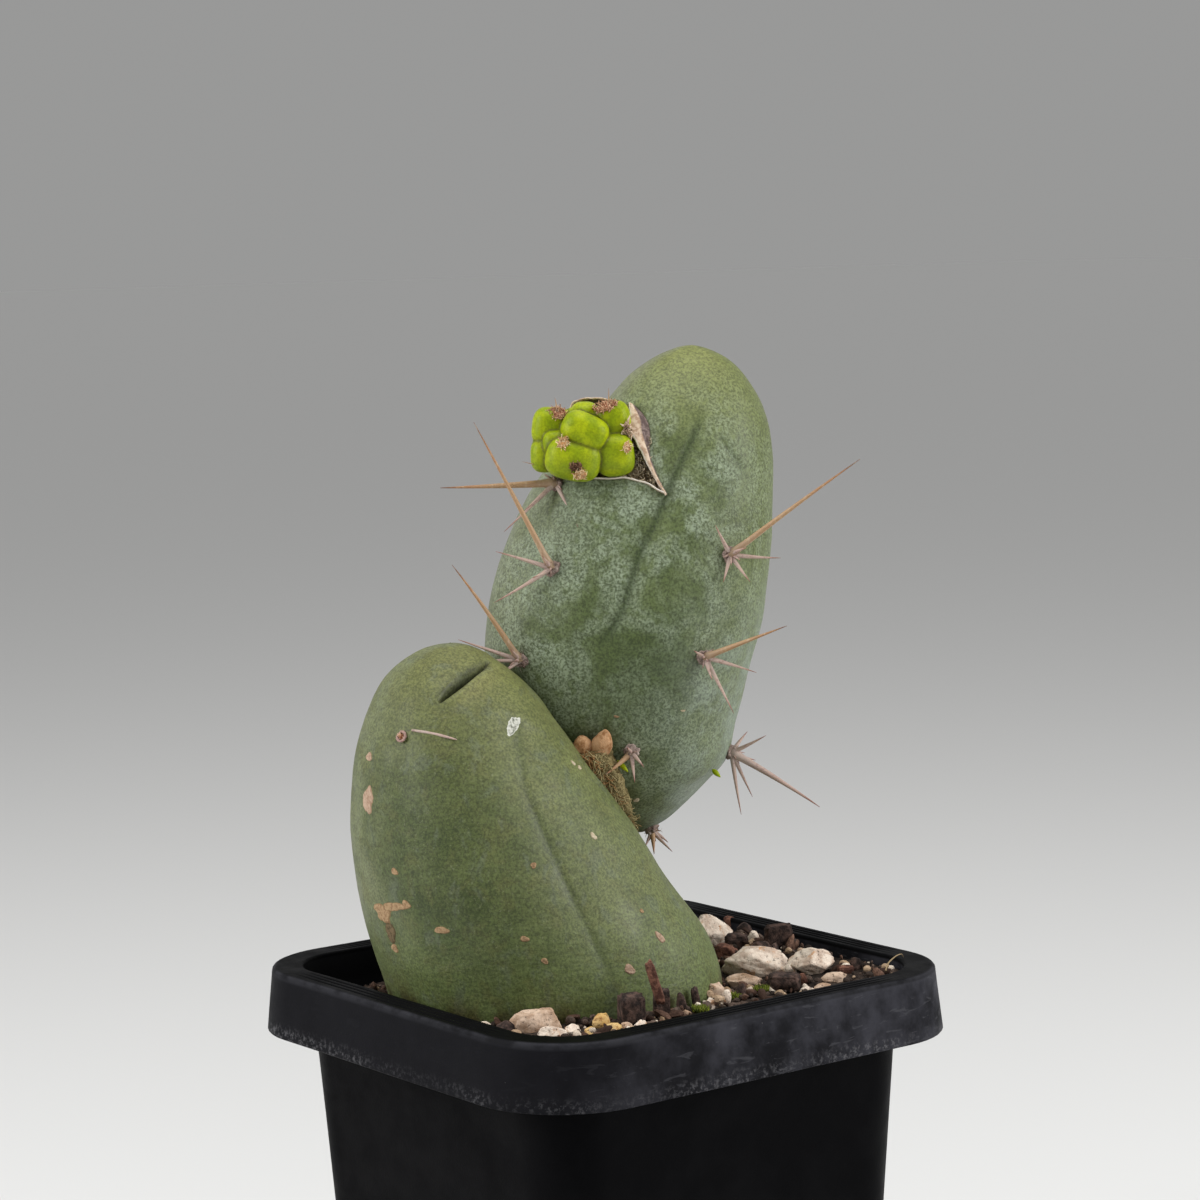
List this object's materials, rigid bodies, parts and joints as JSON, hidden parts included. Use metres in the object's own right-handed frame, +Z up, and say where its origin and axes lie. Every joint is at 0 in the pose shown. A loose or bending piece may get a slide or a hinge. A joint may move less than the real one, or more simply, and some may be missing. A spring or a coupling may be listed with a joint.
{
  "type": "potted monstrose bolivian torch cactus",
  "caption": "Smooth-stemmed monstrose torch cactus with one stem segment grown on another, long spines and a lumpy bud, in a square plastic nursery pot.",
  "frame": {"origin": "middle of the pot's flat bottom, where it rests", "axes": "+Z up; the pot's sides run along X and Y; the plant's best side looks towards +X -Y"},
  "size_m": [0.0819, 0.0862, 0.1656],
  "materials": {
    "pot_plastic": "semi-matte black moulded plastic, scuffed along the skirt's lower edge",
    "soil": "dark crumbly potting mix with fine grit",
    "lower_skin": "waxy olive green skin, satin, finely speckled, with small corky scars",
    "upper_skin": "green skin under a patchy blue-grey waxy bloom",
    "bud_skin": "bright lime green, smooth and slightly glossy",
    "cork": "dry brown corky tissue with fibres",
    "dry_skin": "papery cream dead skin with a brown inner face",
    "spine": "honey tan spines with darker tips on grey-brown woolly cushions",
    "stone_cream": "rough cream gravel stained rust",
    "stone_tan": "rough tan gravel",
    "stone_ochre": "rough ochre gravel",
    "bark": "dark brown to reddish composted bark"
  },
  "bodies": {
    "root": {"pot": "pot_plastic", "soil": "soil", "lower_stem": "lower_skin", "upper_stem": "upper_skin", "corky_joint": "cork", "bud": "bud_skin", "torn_skin": "dry_skin", "areole_left_middle": "spine", "areole_left_low": "spine", "areole_left_high": "spine", "areole_right_high": "spine", "areole_right_low": "spine", "areole_right_edge": "spine", "areole_foot": "spine", "areole_joint": "spine", "areole_far_a": "spine", "areole_far_b": "spine", "areole_far_c": "spine", "areole_far_d": "spine", "areole_far_e": "spine", "areole_far_f": "spine", "areole_worn_front": "spine", "areole_worn_left": "spine", "areole_worn_back_a": "spine", "areole_worn_back_b": "spine", "loose_spine": "spine", "stone_back": "stone_cream", "stone_large": "stone_cream", "stone_right": "stone_cream", "stone_front": "stone_tan", "stone_front_small": "stone_cream", "stone_yellow": "stone_ochre", "stone_flat": "stone_tan", "stone_right_rim": "stone_tan", "stone_far_a": "stone_cream", "stone_far_b": "stone_tan", "stone_far_c": "stone_cream", "stone_far_d": "stone_ochre", "stone_left": "stone_tan", "stone_front_left": "stone_cream", "bark_lump": "bark", "bark_stick": "bark", "bark_chip": "bark", "bark_flake": "bark", "bark_back": "bark", "bark_red": "bark", "bark_right": "bark", "bark_far": "bark"}
  },
  "joints": []
}
